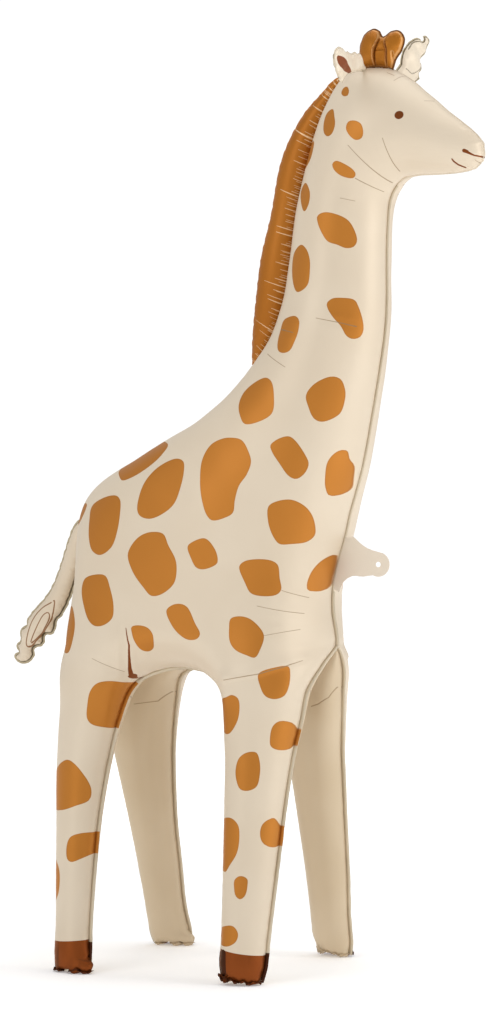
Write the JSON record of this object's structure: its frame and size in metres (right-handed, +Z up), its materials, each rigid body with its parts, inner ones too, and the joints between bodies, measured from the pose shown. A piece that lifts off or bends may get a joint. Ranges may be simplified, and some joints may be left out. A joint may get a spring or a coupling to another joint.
{
  "type": "standing giraffe foil balloon",
  "caption": "Tall air-filled foil balloon in the shape of a giraffe that stands on its own feet as party or nursery decoration.",
  "frame": {"origin": "on the floor, under the middle of the balloon's bounding box", "axes": "+X the way the giraffe looks, +Y to its left, +Z up"},
  "size_m": [0.8648, 0.4022, 1.54],
  "materials": {
    "body_cream_foil": "satin printed foil film",
    "mane_orange_foil": "metallic orange foil film with fine pale strokes",
    "horns_orange_foil": "metallic orange foil film",
    "ear_right_cream_foil": "satin foil film, brown leaf printed inside",
    "ear_left_cream_foil": "satin foil film",
    "tail_cream_foil": "satin foil film with brown hair lines",
    "valve_tab_cream_foil": "two thin films welded flat"
  },
  "bodies": {
    "root": {"body": "body_cream_foil", "mane": "mane_orange_foil", "horns": "horns_orange_foil", "ear_right": "ear_right_cream_foil", "ear_left": "ear_left_cream_foil", "tail": "tail_cream_foil", "valve_tab": "valve_tab_cream_foil"}
  },
  "joints": []
}
